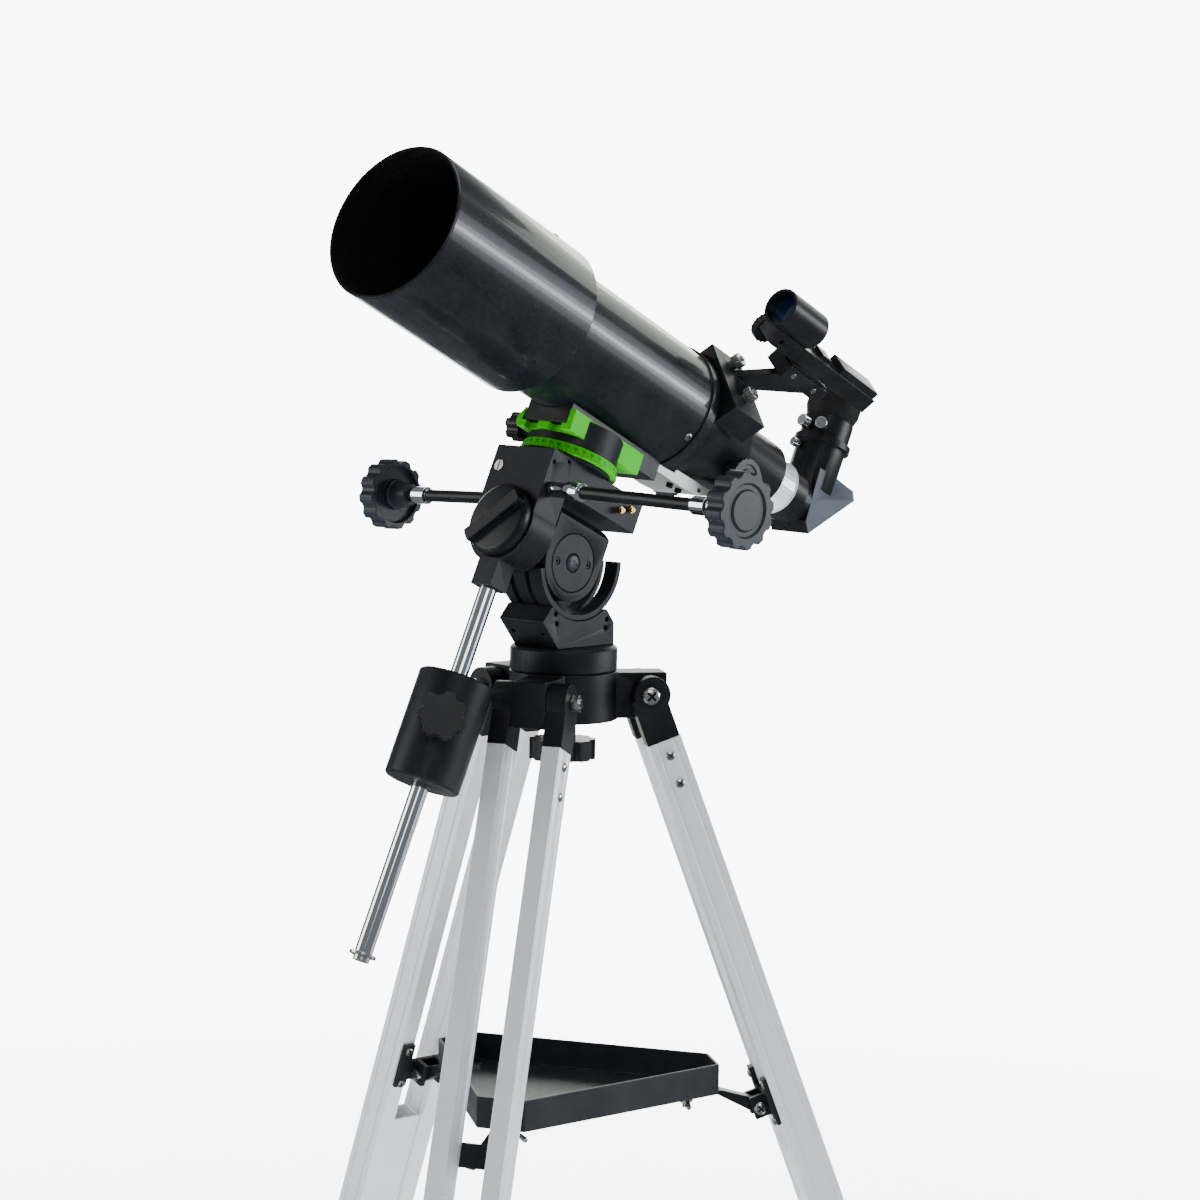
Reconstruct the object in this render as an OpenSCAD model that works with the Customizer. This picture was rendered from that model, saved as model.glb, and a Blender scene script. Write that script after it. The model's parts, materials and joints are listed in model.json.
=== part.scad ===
// Short refractor telescope on a small equatorial head and an aluminium field tripod.
// Millimetres. +Z is up, the tube looks towards -Y, and the floor is z = 0.

/* [Tube] */
// Outer radius of the main tube
tube_r = 45; // [44:0.5:46]
// Outer radius of the dew shield
shield_r = 53.3; // [53:0.1:54]
// Front lip of the dew shield, ahead of the declination axis
shield_front = 221.5; // [218:0.5:230]
// Rear rim of the dew shield, ahead of the declination axis
shield_rear = 76.3; // [74:0.1:80]
// Rear face of the tube's end ring, behind the declination axis
tube_rear = 75; // [74:0.5:77]
// Outer radius of the focuser drawtube
draw_r = 18.6; // [18.4:0.1:18.8]
// Length of drawtube that shows behind the focuser
draw_out = 23; // [20:1:30]
// Bore radius of the eyepiece holder
holder_r = 15.9; // [15.88:0.01:15.95]

/* [Finder] */
// Angle of the finder around the tube, from the right-hand side
finder_angle = 50; // [48:1:52]
// Height of the finder's sight tube above the tube axis
finder_rise = 108.5; // [107:0.5:110]
// Outer radius of the sight tube
sight_r = 13.5; // [13:0.1:14]

/* [Equatorial head] */
// Tilt of the polar axis above the horizon
latitude = 25.1; // [24:0.1:26]
// Turn of the tube about the declination axis, as it stands
dec_turn = 2.8; // [0:0.1:4]
// Height of the tube axis above the polar axis
tube_rise = 133.4; // [133:0.1:136]
// Declination axis ahead of the middle of the polar housing
dec_fore = 11.6; // [11:0.1:12]
// Half width of the declination housing on the right
housing_half = 24; // [23.5:0.5:24.5]
// Height of the declination housing's top above the polar axis
housing_top = 57.8; // [57.5:0.1:58]
// Radius of the setting circle
circle_r = 34.5; // [33:0.5:36]
// Radius of the latitude rocker
rocker_r = 38.3; // [38:0.1:38.5]
// Radius of the slow-motion knobs
slow_knob_r = 25; // [24:0.5:26]

/* [Counterweight] */
// Radius of the weight
weight_r = 25.4; // [24:0.1:26]
// Length of the weight
weight_len = 73.7; // [70:0.1:76]
// Radius of the counterweight shaft
shaft_r = 6; // [5.5:0.5:6]
// Free end of the shaft, below the polar axis
shaft_end = 295; // [290:1:300]

/* [Tripod] */
// Height of the azimuth disc's top above the floor
head_h = 720; // [715:5:730]
// Lean of each leg from the vertical
leg_lean = 20.5; // [20:0.1:21]
// Radius of the hub
hub_r = 36.5; // [36:0.5:38]
// Distance of the leg bolts from the hub's axis
leg_pivot = 55.1; // [55:0.1:56]
// Depth of a leg rail, square to the leg
rail_deep = 23; // [22:0.5:23.5]
// Width of a leg rail
rail_wide = 12.5; // [12:0.1:12.6]
// Distance of the tray's cut corners from the axis
tray_r = 109.4; // [108:0.1:110]
// Width of a cut corner
tray_corner = 33.8; // [32:0.1:35]
// Height of the tray's wall
tray_h = 21; // [20:0.5:22]

/* [Hidden] */
$fn = 64;
gap = 0.3;
leg_azimuth = [-64.7, 55.3, 175.3];
hub_at = [63.3, -6.7, head_h];
disc_h = 17;
disc_r = 36.3;
hub_h = 33;
hub_top = -disc_h - 0.2;
leg_drop = 32.5;
lug_wide = 24.5;
bolt_r = 3;
rail_y = 19.25;
rail_out = -1;
rail_top = -32;
rail_end = -640;
rail_wall = 1.6;
lower_wide = 2 * rail_y - rail_wide - 2 * gap;
lower_deep = 17;
lower_top = -345;
foot_top = -(head_h - leg_drop) / cos(leg_lean) + 38;
lock_at = -618;
tray_top = -287.7;
tray_wall = 2;
brace_at = -300;
brace_in = -21;
arm_wide = 11.4;
nut_at = 90;
pivot_y = -4.4;
pivot_z = 56.2;
pivot_back = 11.1;
lock_z = 11.5;
rocker_wall = 3.8;
bracket_half = 20.8;
slab_half = 20;
slab_r = 26;
slab_mid = [-2.8, -3.4];
drum_r = 29.4;
front_t = 50;
front_back = 26.5;
ra_wheel_t = 41;
ra_worm_s = 32.7;
axis_rise = 3.5;
worm_dip = [1.2, 2];
dec_wheel_r = 21;
dec_worm_t = -15;
dec_worm_s = 45;
knob_reach = [199, 198];
cw_t = 43.4;
weight_top = 105.5;
circle_s = 60.5;
circle_h = 6.5;
drum_top = 86;
saddle_floor = 73;
saddle_top = 88;
slide_half = 19.5;
slide_floor = 78;
focus_end = 189;
pinion_t = -136;
pinion_s = -24.2;
draw_end = focus_end + draw_out;
diag_t = -247;
holder_top = 67;
sight_front = -76;
sight_len = 40;
bar_front = -86;
bar_rear = -204;
shoe_angle = 41;
housing_under = 35.2;

// Frames. In the polar, declination and tube frames +Z runs forwards or up the named axis.
module head_frame() { translate(hub_at) children(); }
module polar_frame() {
  head_frame() translate([0, pivot_y, pivot_z]) rotate([-latitude, 0, 0])
    translate([0, -pivot_back, 0]) rotate([90, 0, 0]) children();
}
module spindle_frame() { polar_frame() translate([0, axis_rise, 0]) children(); }
module dec_frame() { polar_frame() translate([0, 0, dec_fore]) rotate([-90, 0, 0]) children(); }
module tube_frame() { polar_frame() translate([0, tube_rise, dec_fore]) rotate([0, dec_turn, 0]) children(); }
module finder_frame() { tube_frame() rotate([0, 0, finder_angle]) children(); }
module leg_frame(i) {
  head_frame() rotate([0, 0, leg_azimuth[i]]) translate([leg_pivot, 0, -leg_drop])
    rotate([0, -leg_lean, 0]) children();
}
module radial_frame(i) { head_frame() rotate([0, 0, leg_azimuth[i]]) children(); }

// Shared shapes
module box(low, high) { translate(low) cube(high - low); }
module rod(r, low, high) { translate([0, 0, low]) cylinder(r = r, h = high - low); }
module tube(r_out, r_in, low, high) {
  difference() {
    rod(r_out, low, high);
    rod(r_in, low - 1, high + 1);
  }
}
module turned(points) { rotate_extrude($fn = 96) polygon(points); }
module lobed(r, lobes, dent, h) {
  difference() {
    cylinder(r = r, h = h);
    for (i = [0:lobes - 1]) rotate([0, 0, (i + 0.5) * 360 / lobes])
      translate([r + dent * 0.45, 0, -1]) cylinder(r = dent, h = h + 2, $fn = 24);
  }
}
module thumbscrew(shank_r, shank, head_r, head_h) {
  cylinder(r = shank_r, h = shank + 1, $fn = 24);
  translate([0, 0, shank]) cylinder(r = head_r, h = head_h, $fn = 32);
}
module cross_head(r, h) {
  difference() {
    cylinder(r = r, h = h, $fn = 32);
    for (a = [0, 90]) rotate([0, 0, a]) translate([-r * 0.6, -r * 0.12, h * 0.4]) cube([r * 1.2, r * 0.24, h]);
  }
}

// Tripod
module tripod_hub() {
  color("#1b1c1e") difference() {
    union() {
      head_frame() rod(hub_r, hub_top - hub_h, hub_top);
      for (i = [0:2]) radial_frame(i)
        box([hub_r - 8, -lug_wide / 2, hub_top - hub_h + 1], [69, lug_wide / 2, hub_top - 1]);
    }
    head_frame() rod(5.2, -80, 0);
    head_frame() rod(hub_r - 12, hub_top - hub_h - 1, hub_top - 14);
    for (i = [0:2]) leg_frame(i) rotate([90, 0, 0]) translate([0, 0, -40]) cylinder(r = bolt_r + 0.05, h = 80);
  }
}
module tripod_screws() {
  color("silver") for (i = [0:2]) leg_frame(i) {
    rotate([90, 0, 0]) {
      rod(bolt_r, -28, 28);
      translate([0, 0, 26.6]) cross_head(6.2, 3.6);
      translate([0, 0, -31.6]) cylinder(r = 6, h = 5, $fn = 6);
    }
    translate([brace_in, 0, brace_at]) rotate([90, 0, 0]) {
      rod(2.5, -13, 13);
      translate([0, 0, 10.2]) cross_head(4.6, 3);
      translate([0, 0, -13.8]) cylinder(r = 4.4, h = 3.6, $fn = 6);
    }
    for (side = [-1, 1]) {
      for (z = [rail_top - 11, rail_top - 31])
        translate([rail_out, side * (rail_y + rail_wide / 2), z]) rotate([-side * 90, 0, 0]) cross_head(3.4, 2);
      for (z = [brace_at - 9.4, brace_at + 17])
        translate([rail_out - rail_deep / 2 - 3, side * rail_y, z]) rotate([0, -90, 0]) cross_head(3, 1.8);
    }
  }
}
module top_bracket(side) {
  mid = side * rail_y;
  difference() {
    union() {
      translate([1.5, mid + 6.9, 0]) rotate([90, 0, 0]) cylinder(r = 12.4, h = 13.8);
      box([rail_out - rail_deep / 2 - 0.7, mid - 6.9, rail_top], [rail_out + rail_deep / 2 - 0.6, mid + 6.9, 0]);
      box([rail_out - 9.8, mid - 4.5, rail_top - 50], [rail_out + 9.8, mid + 4.5, rail_top + 1]);
    }
    rotate([90, 0, 0]) translate([0, 0, -40]) cylinder(r = bolt_r + 0.05, h = 80);
  }
}
module brace_bracket() {
  inner = rail_out - rail_deep / 2;
  difference() {
    union() {
      for (side = [-1, 1]) {
        box([inner - 3, side > 0 ? 14 : -24, brace_at - 12], [inner, side > 0 ? 24 : -14, brace_at + 22]);
        box([brace_in - 5, side > 0 ? 6 : -10, brace_at - 7], [inner, side > 0 ? 10 : -6, brace_at + 9]);
      }
      box([inner - 3, -24, brace_at - 7], [inner, 24, brace_at + 9]);
    }
    translate([brace_in, 30, brace_at]) rotate([90, 0, 0]) cylinder(r = 2.55, h = 60);
  }
}
module leg_brackets() {
  color("#17181a") for (i = [0:2]) leg_frame(i) {
    for (side = [-1, 1]) top_bracket(side);
    brace_bracket();
  }
}
module rail_section() {
  difference() {
    square([rail_deep, rail_wide], center = true);
    square([rail_deep - 2 * rail_wall, rail_wide - 2 * rail_wall], center = true);
    for (side = [-1, 1]) translate([side * 6, rail_wide / 2]) square([1.6, 1.2], center = true);
    for (side = [-1, 1]) translate([side * 6, -rail_wide / 2]) square([1.6, 1.2], center = true);
  }
}
module leg_rails() {
  color("#d8dcde") for (i = [0:2]) leg_frame(i) for (side = [-1, 1])
    translate([rail_out, side * rail_y, rail_end]) linear_extrude(height = rail_top - rail_end) rail_section();
}
module leg_lock_block() {
  block_wide = rail_y + rail_wide / 2 + 2.4;
  difference() {
    box([rail_out - rail_deep / 2 - 2.4, -block_wide, lock_at - 26],
      [rail_out + rail_deep / 2 + 2.4, block_wide, lock_at + 18]);
    for (side = [-1, 1]) translate([rail_out, side * rail_y, rail_end])
      linear_extrude(height = 60) square([rail_deep, rail_wide], center = true);
    box([rail_out - lower_deep / 2 - gap, -lower_wide / 2 - gap, lock_at - 40],
      [rail_out + lower_deep / 2 + gap, lower_wide / 2 + gap, lock_at + 40]);
    translate([rail_out, 0, lock_at]) rotate([0, 90, 0]) cylinder(r = 3.05, h = 40);
  }
}
module leg_lock_blocks() { color("#17181a") for (i = [0:2]) leg_frame(i) leg_lock_block(); }
module lower_leg(i) {
  color("#cfd3d6") leg_frame(i) difference() {
    box([rail_out - lower_deep / 2, -lower_wide / 2, foot_top - 12],
      [rail_out + lower_deep / 2, lower_wide / 2, lower_top]);
    box([rail_out - lower_deep / 2 + 1.6, -lower_wide / 2 + 1.6, foot_top + 10],
      [rail_out + lower_deep / 2 - 1.6, lower_wide / 2 - 1.6, lower_top + 1]);
  }
}
module rubber_foot(i) {
  color("#101112") difference() {
    leg_frame(i) translate([rail_out, 0, foot_top - 60]) difference() {
      union() {
        box([-lower_deep / 2 - 3, -lower_wide / 2 - 3, 34], [lower_deep / 2 + 3, lower_wide / 2 + 3, 60]);
        cylinder(r = 15, h = 36);
      }
      box([-lower_deep / 2, -lower_wide / 2, 48], [lower_deep / 2, lower_wide / 2, 61]);
    }
    translate([-600, -600, -100]) cube([1200, 1200, 100]);
  }
}
module leg_lock_screw(i) {
  color("#17181a") leg_frame(i) translate([rail_out + lower_deep / 2 + gap, 0, lock_at]) rotate([0, 90, 0]) {
    cylinder(r = 3, h = 12);
    translate([0, 0, 6.2]) cylinder(r = 6, h = 3);
    translate([0, 0, 9]) lobed(12, 6, 4, 9);
  }
}
module tray_outline(inset) {
  side = tray_corner / 2 - inset * 0.58;
  reach = tray_r - inset;
  polygon([for (i = [0:2]) for (s = [-1, 1])
    let (a = leg_azimuth[i]) [reach * cos(a) - s * side * sin(a), reach * sin(a) + s * side * cos(a)]]);
}
module tray() {
  color("#26292c") head_frame() difference() {
    translate([0, 0, tray_top - tray_h]) linear_extrude(height = tray_h) tray_outline(0);
    translate([0, 0, tray_top - tray_h + tray_wall]) linear_extrude(height = tray_h) tray_outline(tray_wall);
    for (i = [0:2]) rotate([0, 0, leg_azimuth[i]]) translate([nut_at, 0, tray_top - tray_h - 1])
      cylinder(r = 2.55, h = 10);
  }
}
module brace_arm() {
  under = tray_top - tray_h;
  bolt_x = leg_pivot + (brace_in * cos(leg_lean)) - brace_at * sin(leg_lean);
  bolt_z = -leg_drop + brace_in * sin(leg_lean) + brace_at * cos(leg_lean);
  difference() {
    union() {
      box([nut_at - 8, -arm_wide / 2, under - 3], [tray_r + 4, arm_wide / 2, under]);
      translate([0, arm_wide / 2, 0]) rotate([90, 0, 0]) linear_extrude(height = arm_wide)
        polygon([[tray_r + 2, under], [tray_r + 5, under], [bolt_x + 2, bolt_z + 4.6], [bolt_x - 3, bolt_z - 4.2],
          [tray_r + 2, under - 3]]);
      translate([bolt_x, arm_wide / 2, bolt_z]) rotate([90, 0, 0]) cylinder(r = 5.2, h = arm_wide);
    }
    translate([bolt_x, 20, bolt_z]) rotate([90, 0, 0]) cylinder(r = 2.55, h = 40);
    translate([nut_at, 0, under - 10]) cylinder(r = 2.55, h = 20);
  }
}
module brace_arms() { color("#222527") for (i = [0:2]) radial_frame(i) brace_arm(); }
module wing_nuts() {
  under = tray_top - tray_h;
  color("silver") for (i = [0:2]) radial_frame(i) translate([nut_at, 0, under]) {
    rod(2.5, -12, tray_wall + 0.5);
    rod(5, tray_wall, tray_wall + 2);
    rod(5, -8, -3);
    for (side = [-1, 1]) hull() {
      translate([0, side * 4, -6]) sphere(r = 1.4, $fn = 16);
      translate([0, side * 10, -10]) sphere(r = 2, $fn = 16);
    }
  }
}
module azimuth_knob() {
  color("#17181a") head_frame() {
    rod(5, -66, -2);
    rod(9, -66, hub_top - hub_h - gap);
    translate([0, 0, -77.5]) lobed(22.5, 8, 5, 13.5);
  }
}

// Head
module azimuth_disc() {
  color("#202225") head_frame() difference() {
    turned([[0, -disc_h], [disc_r - 1, -disc_h], [disc_r, -disc_h + 1], [disc_r, -2], [disc_r - 2, 0], [0, 0]]);
    rod(5.05, -20, -1.5);
  }
}
module mount_bracket() {
  color("#26292d") head_frame() difference() {
    translate([-bracket_half, 0, 0]) rotate([90, 0, 90]) linear_extrude(height = 2 * bracket_half)
      polygon([[-41, 19], [-26, 0], [27, 0], [27, 15], [20, 24], [-29.3, 32]]);
    translate([-50, pivot_y, pivot_z]) rotate([0, 90, 0]) cylinder(r = rocker_r + gap, h = 100, $fn = 128);
    for (x = [-14, 14]) translate([x, -36.8, 6]) rotate([-38, 0, 0]) cylinder(r = 1.8, h = 40, $fn = 24);
    for (hole = [[-28.7, 23.8], [-27.6, 17.3], [20, 17.3], [18.7, 11.5]])
      translate([bracket_half - 3, hole[0], hole[1]]) rotate([0, 90, 0]) cylinder(r = 1.7, h = 10, $fn = 24);
    translate([-bracket_half - 1, pivot_y, lock_z]) rotate([0, 90, 0]) cylinder(r = 3.08, h = 20);
  }
}
module latitude_lock() {
  color("#17181a") head_frame() translate([-bracket_half, pivot_y, lock_z]) rotate([0, -90, 0]) {
    rod(3, -12, 6);
    rod(6, gap, 6);
    translate([0, 0, 5]) lobed(10.6, 6, 4, 10);
  }
}
module rocker() {
  translate([0, 0, -pivot_back]) rotate([0, 90, 0]) difference() {
    translate([0, 0, -bracket_half + 0.8]) difference() {
      cylinder(r = rocker_r, h = 2 * bracket_half - 1.6, $fn = 128);
      translate([0, 0, -1]) cylinder(r = rocker_r - rocker_wall, h = 100, $fn = 128);
    }
    rotate([0, 0, latitude]) translate([-60, -1, -40]) cube([120, 60, 80]);
    for (z = [-11, 4]) rotate([0, 0, latitude - 90]) rotate([0, 0, 6])
      translate([0, -60, z]) cube([34, 100, 4]);
  }
}
module ra_slab() {
  intersection() {
    union() {
      translate([0, slab_mid[0], slab_mid[1]]) rotate([0, 90, 0])
        translate([0, 0, -slab_half]) cylinder(r = slab_r, h = 2 * slab_half, $fn = 96);
      box([-slab_half, slab_mid[0], slab_mid[1] - slab_r], [slab_half, 31, slab_mid[1] + slab_r - 0.5]);
    }
    union() {
      translate([0, axis_rise, 0]) rod(drum_r - 1, -40, 40);
      box([-40, -40, -40], [40, 0, 40]);
    }
  }
}
module ra_housing() {
  color("#222427") polar_frame() difference() {
    union() {
      ra_slab();
      rocker();
      box([-7, -35.5, -24], [7, -14, 0]);
    }
    translate([0, axis_rise, 0]) rod(9.05, -24.1, 40);
    for (side = [-1, 1]) translate([side * slab_half, slab_mid[0], slab_mid[1]]) rotate([0, side * 90, 0]) {
      difference() {
        translate([0, 0, -1]) cylinder(r = 20, h = 2);
        translate([0, 0, -2]) cylinder(r = 19.4, h = 4);
      }
      difference() {
        translate([0, 0, -1]) cylinder(r = 6.4, h = 2);
        translate([0, 0, -2]) cylinder(r = 5.8, h = 4);
      }
      for (end = [-1, 1]) translate([end * 14, end * side * 4, -4]) cylinder(r = 2.4, h = 6, $fn = 24);
    }
  }
}
module ra_shaft() {
  color("silver") spindle_frame() {
    rod(9, -24, 36);
    rod(7, 35, 52);
  }
}
module ra_worm_wheel() {
  color("#b08d3c") spindle_frame() {
    tube(23.4, 7, ra_wheel_t - 4, ra_wheel_t + 4);
    for (i = [0:71]) rotate([0, 0, i * 5]) box([22.9, -0.5, ra_wheel_t - 3.5], [24.3, 0.5, ra_wheel_t + 3.5]);
  }
}
module dec_housing() {
  color("#26292d") polar_frame() difference() {
    union() {
      box([-31, housing_under, -44.7], [housing_half, housing_top, front_back + 1]);
      box([-29.5, axis_rise, front_back], [housing_half, housing_top, front_t]);
      translate([-1.8, axis_rise - 0.5, 0]) rod(27.7, front_back, front_t);
      box([-9.5, -41.5, 35.2], [9, -22, 51.5]);
      box([-9.5, -25, 35.2], [9, -15, front_t]);
    }
    translate([0, axis_rise, 0]) {
      rod(9.1, front_back - 1, 36.5);
      rod(24.6, ra_wheel_t - 4.6, ra_wheel_t + 4.6);
      rod(7.1, ra_wheel_t, 60);
    }
    translate([0, 0, cw_t]) rotate([90, 0, 0]) rod(shaft_r, 30, 50);
    ra_worm_place() rod(5.6, -22, 18);
    ra_worm_place() rod(3.1, -25, 60);
    dec_worm_place() rod(5.6, -22, 18);
    dec_worm_place() rod(3.1, -20, 60);
    dec_bore();
    for (hole = [[49.4, 46.4], [55, 33.5]]) translate([housing_half - 4, hole[0], hole[1]])
      rotate([0, 90, 0]) cylinder(r = 1.3, h = 6, $fn = 24);
  }
}
module housing_screws() {
  color("#c9a24a") polar_frame() {
    for (at = [[44, -22.5], [48, -31.5]]) translate([housing_half, at[0], at[1]]) rotate([0, 90, 0]) {
      rod(1.8, 0, 3);
      rod(2.6, 2, 6);
    }
    translate([-31, 44, 36]) rotate([0, -90, 0]) rod(2.4, 0, 4);
    translate([-21.3, 42.5, front_t]) rod(4, 0, 0.8);
  }
}
module dec_bore() {
  translate([0, 0, dec_fore]) rotate([-90, 0, 0]) {
    rod(dec_wheel_r + 1.2, dec_worm_s - 4.6, dec_worm_s + 4.6);
    rod(9.1, dec_worm_s, 90);
  }
}
// The worms point outwards: the polar one to the right and the declination one to the left.
module ra_worm_place() {
  translate([0, ra_worm_s, ra_wheel_t]) rotate([0, 0, -worm_dip[0]]) rotate([0, 90, 0]) children();
}
module dec_worm_place() {
  translate([0, dec_worm_s, dec_worm_t]) rotate([0, 0, worm_dip[1]]) rotate([0, -90, 0]) children();
}
module worm_rod(mouth, reach) {
  turned([[0, -18], [3, -18], [3, -12], [4.4, -12], [4.4, 12], [3, 12], [3, mouth + 2], [0, mouth + 2]]);
  turned([[0, mouth + 1], [5.2, mouth + 1], [5.2, mouth + 14], [6.4, mouth + 16], [6.4, mouth + 28],
    [4.3, mouth + 29], [4.3, reach - 46], [6.2, reach - 45], [6.2, reach - 33], [4.2, reach - 32], [4.2, reach - 14],
    [0, reach - 14]]);
}
module slow_knob(reach) {
  translate([0, 0, reach - 14]) difference() {
    union() {
      lobed(slow_knob_r, 12, 4.4, 14);
      translate([0, 0, -14]) cylinder(r1 = 7.5, r2 = 10, h = 15);
    }
    translate([0, 0, -15]) cylinder(r = 4.2, h = 15);
    translate([0, 0, 12.6]) difference() {
      cylinder(r = 17, h = 3);
      translate([0, 0, -1]) cylinder(r = 13, h = 5);
    }
    translate([0, 0, -6]) difference() {
      cylinder(r = slow_knob_r - 5, h = 10);
      cylinder(r = 10.4, h = 10);
    }
  }
}
module ra_worm_rod() { color("#2a2c2e") polar_frame() ra_worm_place() worm_rod(24.5, knob_reach[0]); }
module ra_slow_knob() { color("#2c3036") polar_frame() ra_worm_place() slow_knob(knob_reach[0]); }
module dec_worm_rod() { color("#2a2c2e") polar_frame() dec_worm_place() worm_rod(31.5, knob_reach[1]); }
module dec_slow_knob() { color("#2c3036") polar_frame() dec_worm_place() slow_knob(knob_reach[1]); }
module ra_clutch_knob() {
  color("#1c1e20") spindle_frame() {
    difference() {
      union() {
        turned([[0, front_t + gap], [24, front_t + gap], [25, front_t + 2], [25, front_t + 6], [22, front_t + 8],
          [0, front_t + 8]]);
        rotate([0, 0, 43]) intersection() {
          rod(24, front_t, front_t + 13);
          box([-24, -5, front_t + 4], [24, 5, front_t + 13]);
        }
      }
      rod(7.1, front_t - 1, front_t + 2.3);
    }
  }
}
module cw_place() { polar_frame() translate([0, 0, cw_t]) rotate([90, 0, 0]) children(); }
module cw_shaft() {
  color("#c9ccd0") cw_place() difference() {
    rod(shaft_r, 30, shaft_end);
    rod(2.5, shaft_end - 14, shaft_end + 1);
  }
}
module cw_stop() {
  color("silver") cw_place() {
    rod(2.5, shaft_end - 13, shaft_end + 1);
    rod(9, shaft_end, shaft_end + 2);
    translate([0, 0, shaft_end + 2]) cross_head(5.5, 3.4);
  }
}
module counterweight() {
  color("#232528") cw_place() difference() {
    turned([[shaft_r + 0.3, weight_top], [weight_r - 1.5, weight_top], [weight_r, weight_top + 1.5],
      [weight_r, weight_top + weight_len - 1.5], [weight_r - 1.5, weight_top + weight_len],
      [shaft_r + 0.3, weight_top + weight_len]]);
    weight_knob_place() rod(3.05, -20, 10);
  }
}
module weight_knob_place() {
  translate([0, 0, weight_top + 32]) rotate([0, 0, 45]) rotate([0, 90, 0])
    translate([0, 0, weight_r]) children();
}
module counterweight_knob() {
  color("#1c1e20") cw_place() weight_knob_place() {
    rod(3, -18, 4);
    rod(8, gap, 4);
    translate([0, 0, 3]) lobed(16.5, 7, 5, 9);
  }
}

// Declination assembly
module dec_shaft() {
  color("silver") dec_frame() {
    rod(9, dec_worm_s - 4, 64);
    rod(12, 64, 70);
  }
}
module dec_worm_wheel() {
  color("#b08d3c") dec_frame() {
    tube(dec_wheel_r - 0.8, 9, dec_worm_s - 4, dec_worm_s + 4);
    for (i = [0:71]) rotate([0, 0, i * 5])
      box([dec_wheel_r - 1.3, -0.45, dec_worm_s - 3.5], [dec_wheel_r, 0.45, dec_worm_s + 3.5]);
  }
}
module setting_circle() {
  color("#4fb81f") dec_frame() {
    turned([[12, circle_s], [circle_r, circle_s], [circle_r - 1.5, circle_s + circle_h],
      [12, circle_s + circle_h]]);
  }
}
module dec_drum() {
  color("#202225") difference() {
    dec_frame() union() {
      tube(circle_r - 4, 9, housing_top + 0.4, circle_s);
      tube(circle_r - 3, 12, circle_s + circle_h, drum_top);
    }
    tube_frame() translate([0, -tube_rise, 0]) {
      box([-25, saddle_floor, -60], [25, 100, 60]);
      for (t = [9, -12]) translate([-40, 81.5, t]) rotate([0, 90, 0]) rod(3.1, 0, 30);
    }
  }
}
module saddle() {
  color("#54c422") tube_frame() translate([0, -tube_rise, 0]) difference() {
    intersection() {
      box([-25, saddle_floor, -42], [25, saddle_top, 35]);
      translate([0, 0, -42]) linear_extrude(height = 77)
        polygon([[-21, 70], [25, 70], [25, 90], [-18, 90], [-25, 80], [-25, 76]]);
    }
    box([-slide_half - 0.5, slide_floor, -60], [slide_half + 0.5, saddle_top + 1, 60]);
    for (x = [-16, 5]) box([x, saddle_floor - 1, 30], [x + 11, slide_floor + 2.5, 36]);
    for (t = [9, -12]) translate([-26, 81.5, t]) rotate([0, 90, 0]) rod(3.1, 0, 10);
  }
}
module saddle_knob(t) {
  translate([-slide_half - 0.8, 81.5, t]) rotate([0, -90, 0]) {
    rod(3, 0, 14);
    rod(5.5, 12.2, 20);
    translate([0, 0, 19]) lobed(10, 6, 3.4, 11);
  }
}
module saddle_knob_a() { color("#202225") tube_frame() translate([0, -tube_rise, 0]) saddle_knob(9); }
module saddle_knob_b() { color("#202225") tube_frame() translate([0, -tube_rise, 0]) saddle_knob(-12); }

// Optical tube
module dovetail_plate() {
  color("#9aa39a") tube_frame() translate([0, -tube_rise, 0]) difference() {
    box([-slide_half, slide_floor + 0.2, -126], [slide_half, 92, 34]);
    translate([0, tube_rise, 0]) {
      rod(tube_r, -140, 140);
      rod(tube_r + 1.6, -140, -tube_rear + 8.2);
    }
    for (t = [-112, -98, -84]) translate([0, 100, t]) rotate([90, 0, 0]) rod(3, 0, 30);
    for (t = [-60, 24]) translate([0, 100, t]) rotate([90, 0, 0]) rod(2.5, 0, 30);
  }
}
module dew_shield() {
  color("#0d0f12") tube_frame() turned([[shield_r - 2, shield_rear], [shield_r - 0.6, shield_rear],
    [shield_r, shield_rear + 0.8], [shield_r, shield_front - 1], [shield_r - 0.8, shield_front],
    [shield_r - 2.2, shield_front], [shield_r - 2.4, shield_front - 3], [shield_r - 1.6, shield_front - 4],
    [shield_r - 1.6, shield_rear + 3], [tube_r + 0.4, shield_rear + 3], [tube_r + 0.4, shield_rear]]);
}
module objective_cell() {
  color("#16181a") tube_frame() tube(tube_r + 0.4, 40, shield_rear + 3, shield_rear + 22);
}
module objective_lens() {
  color("#9fb8c8", 0.4) tube_frame() {
    translate([0, 0, shield_rear + 8]) intersection() {
      rod(40, 0, 12);
      translate([0, 0, -96]) sphere(r = 106, $fn = 96);
    }
  }
}
module main_tube() {
  color("#0f1115") tube_frame() {
    tube(tube_r, tube_r - 1.5, -tube_rear + 8, shield_rear + 3);
    turned([[tube_r - 1.5, -tube_rear + 8], [tube_r + 1.4, -tube_rear + 8], [tube_r + 1.5, -tube_rear + 6],
      [tube_r + 1.5, -tube_rear], [tube_r - 1.5, -tube_rear]]);
  }
}
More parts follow.
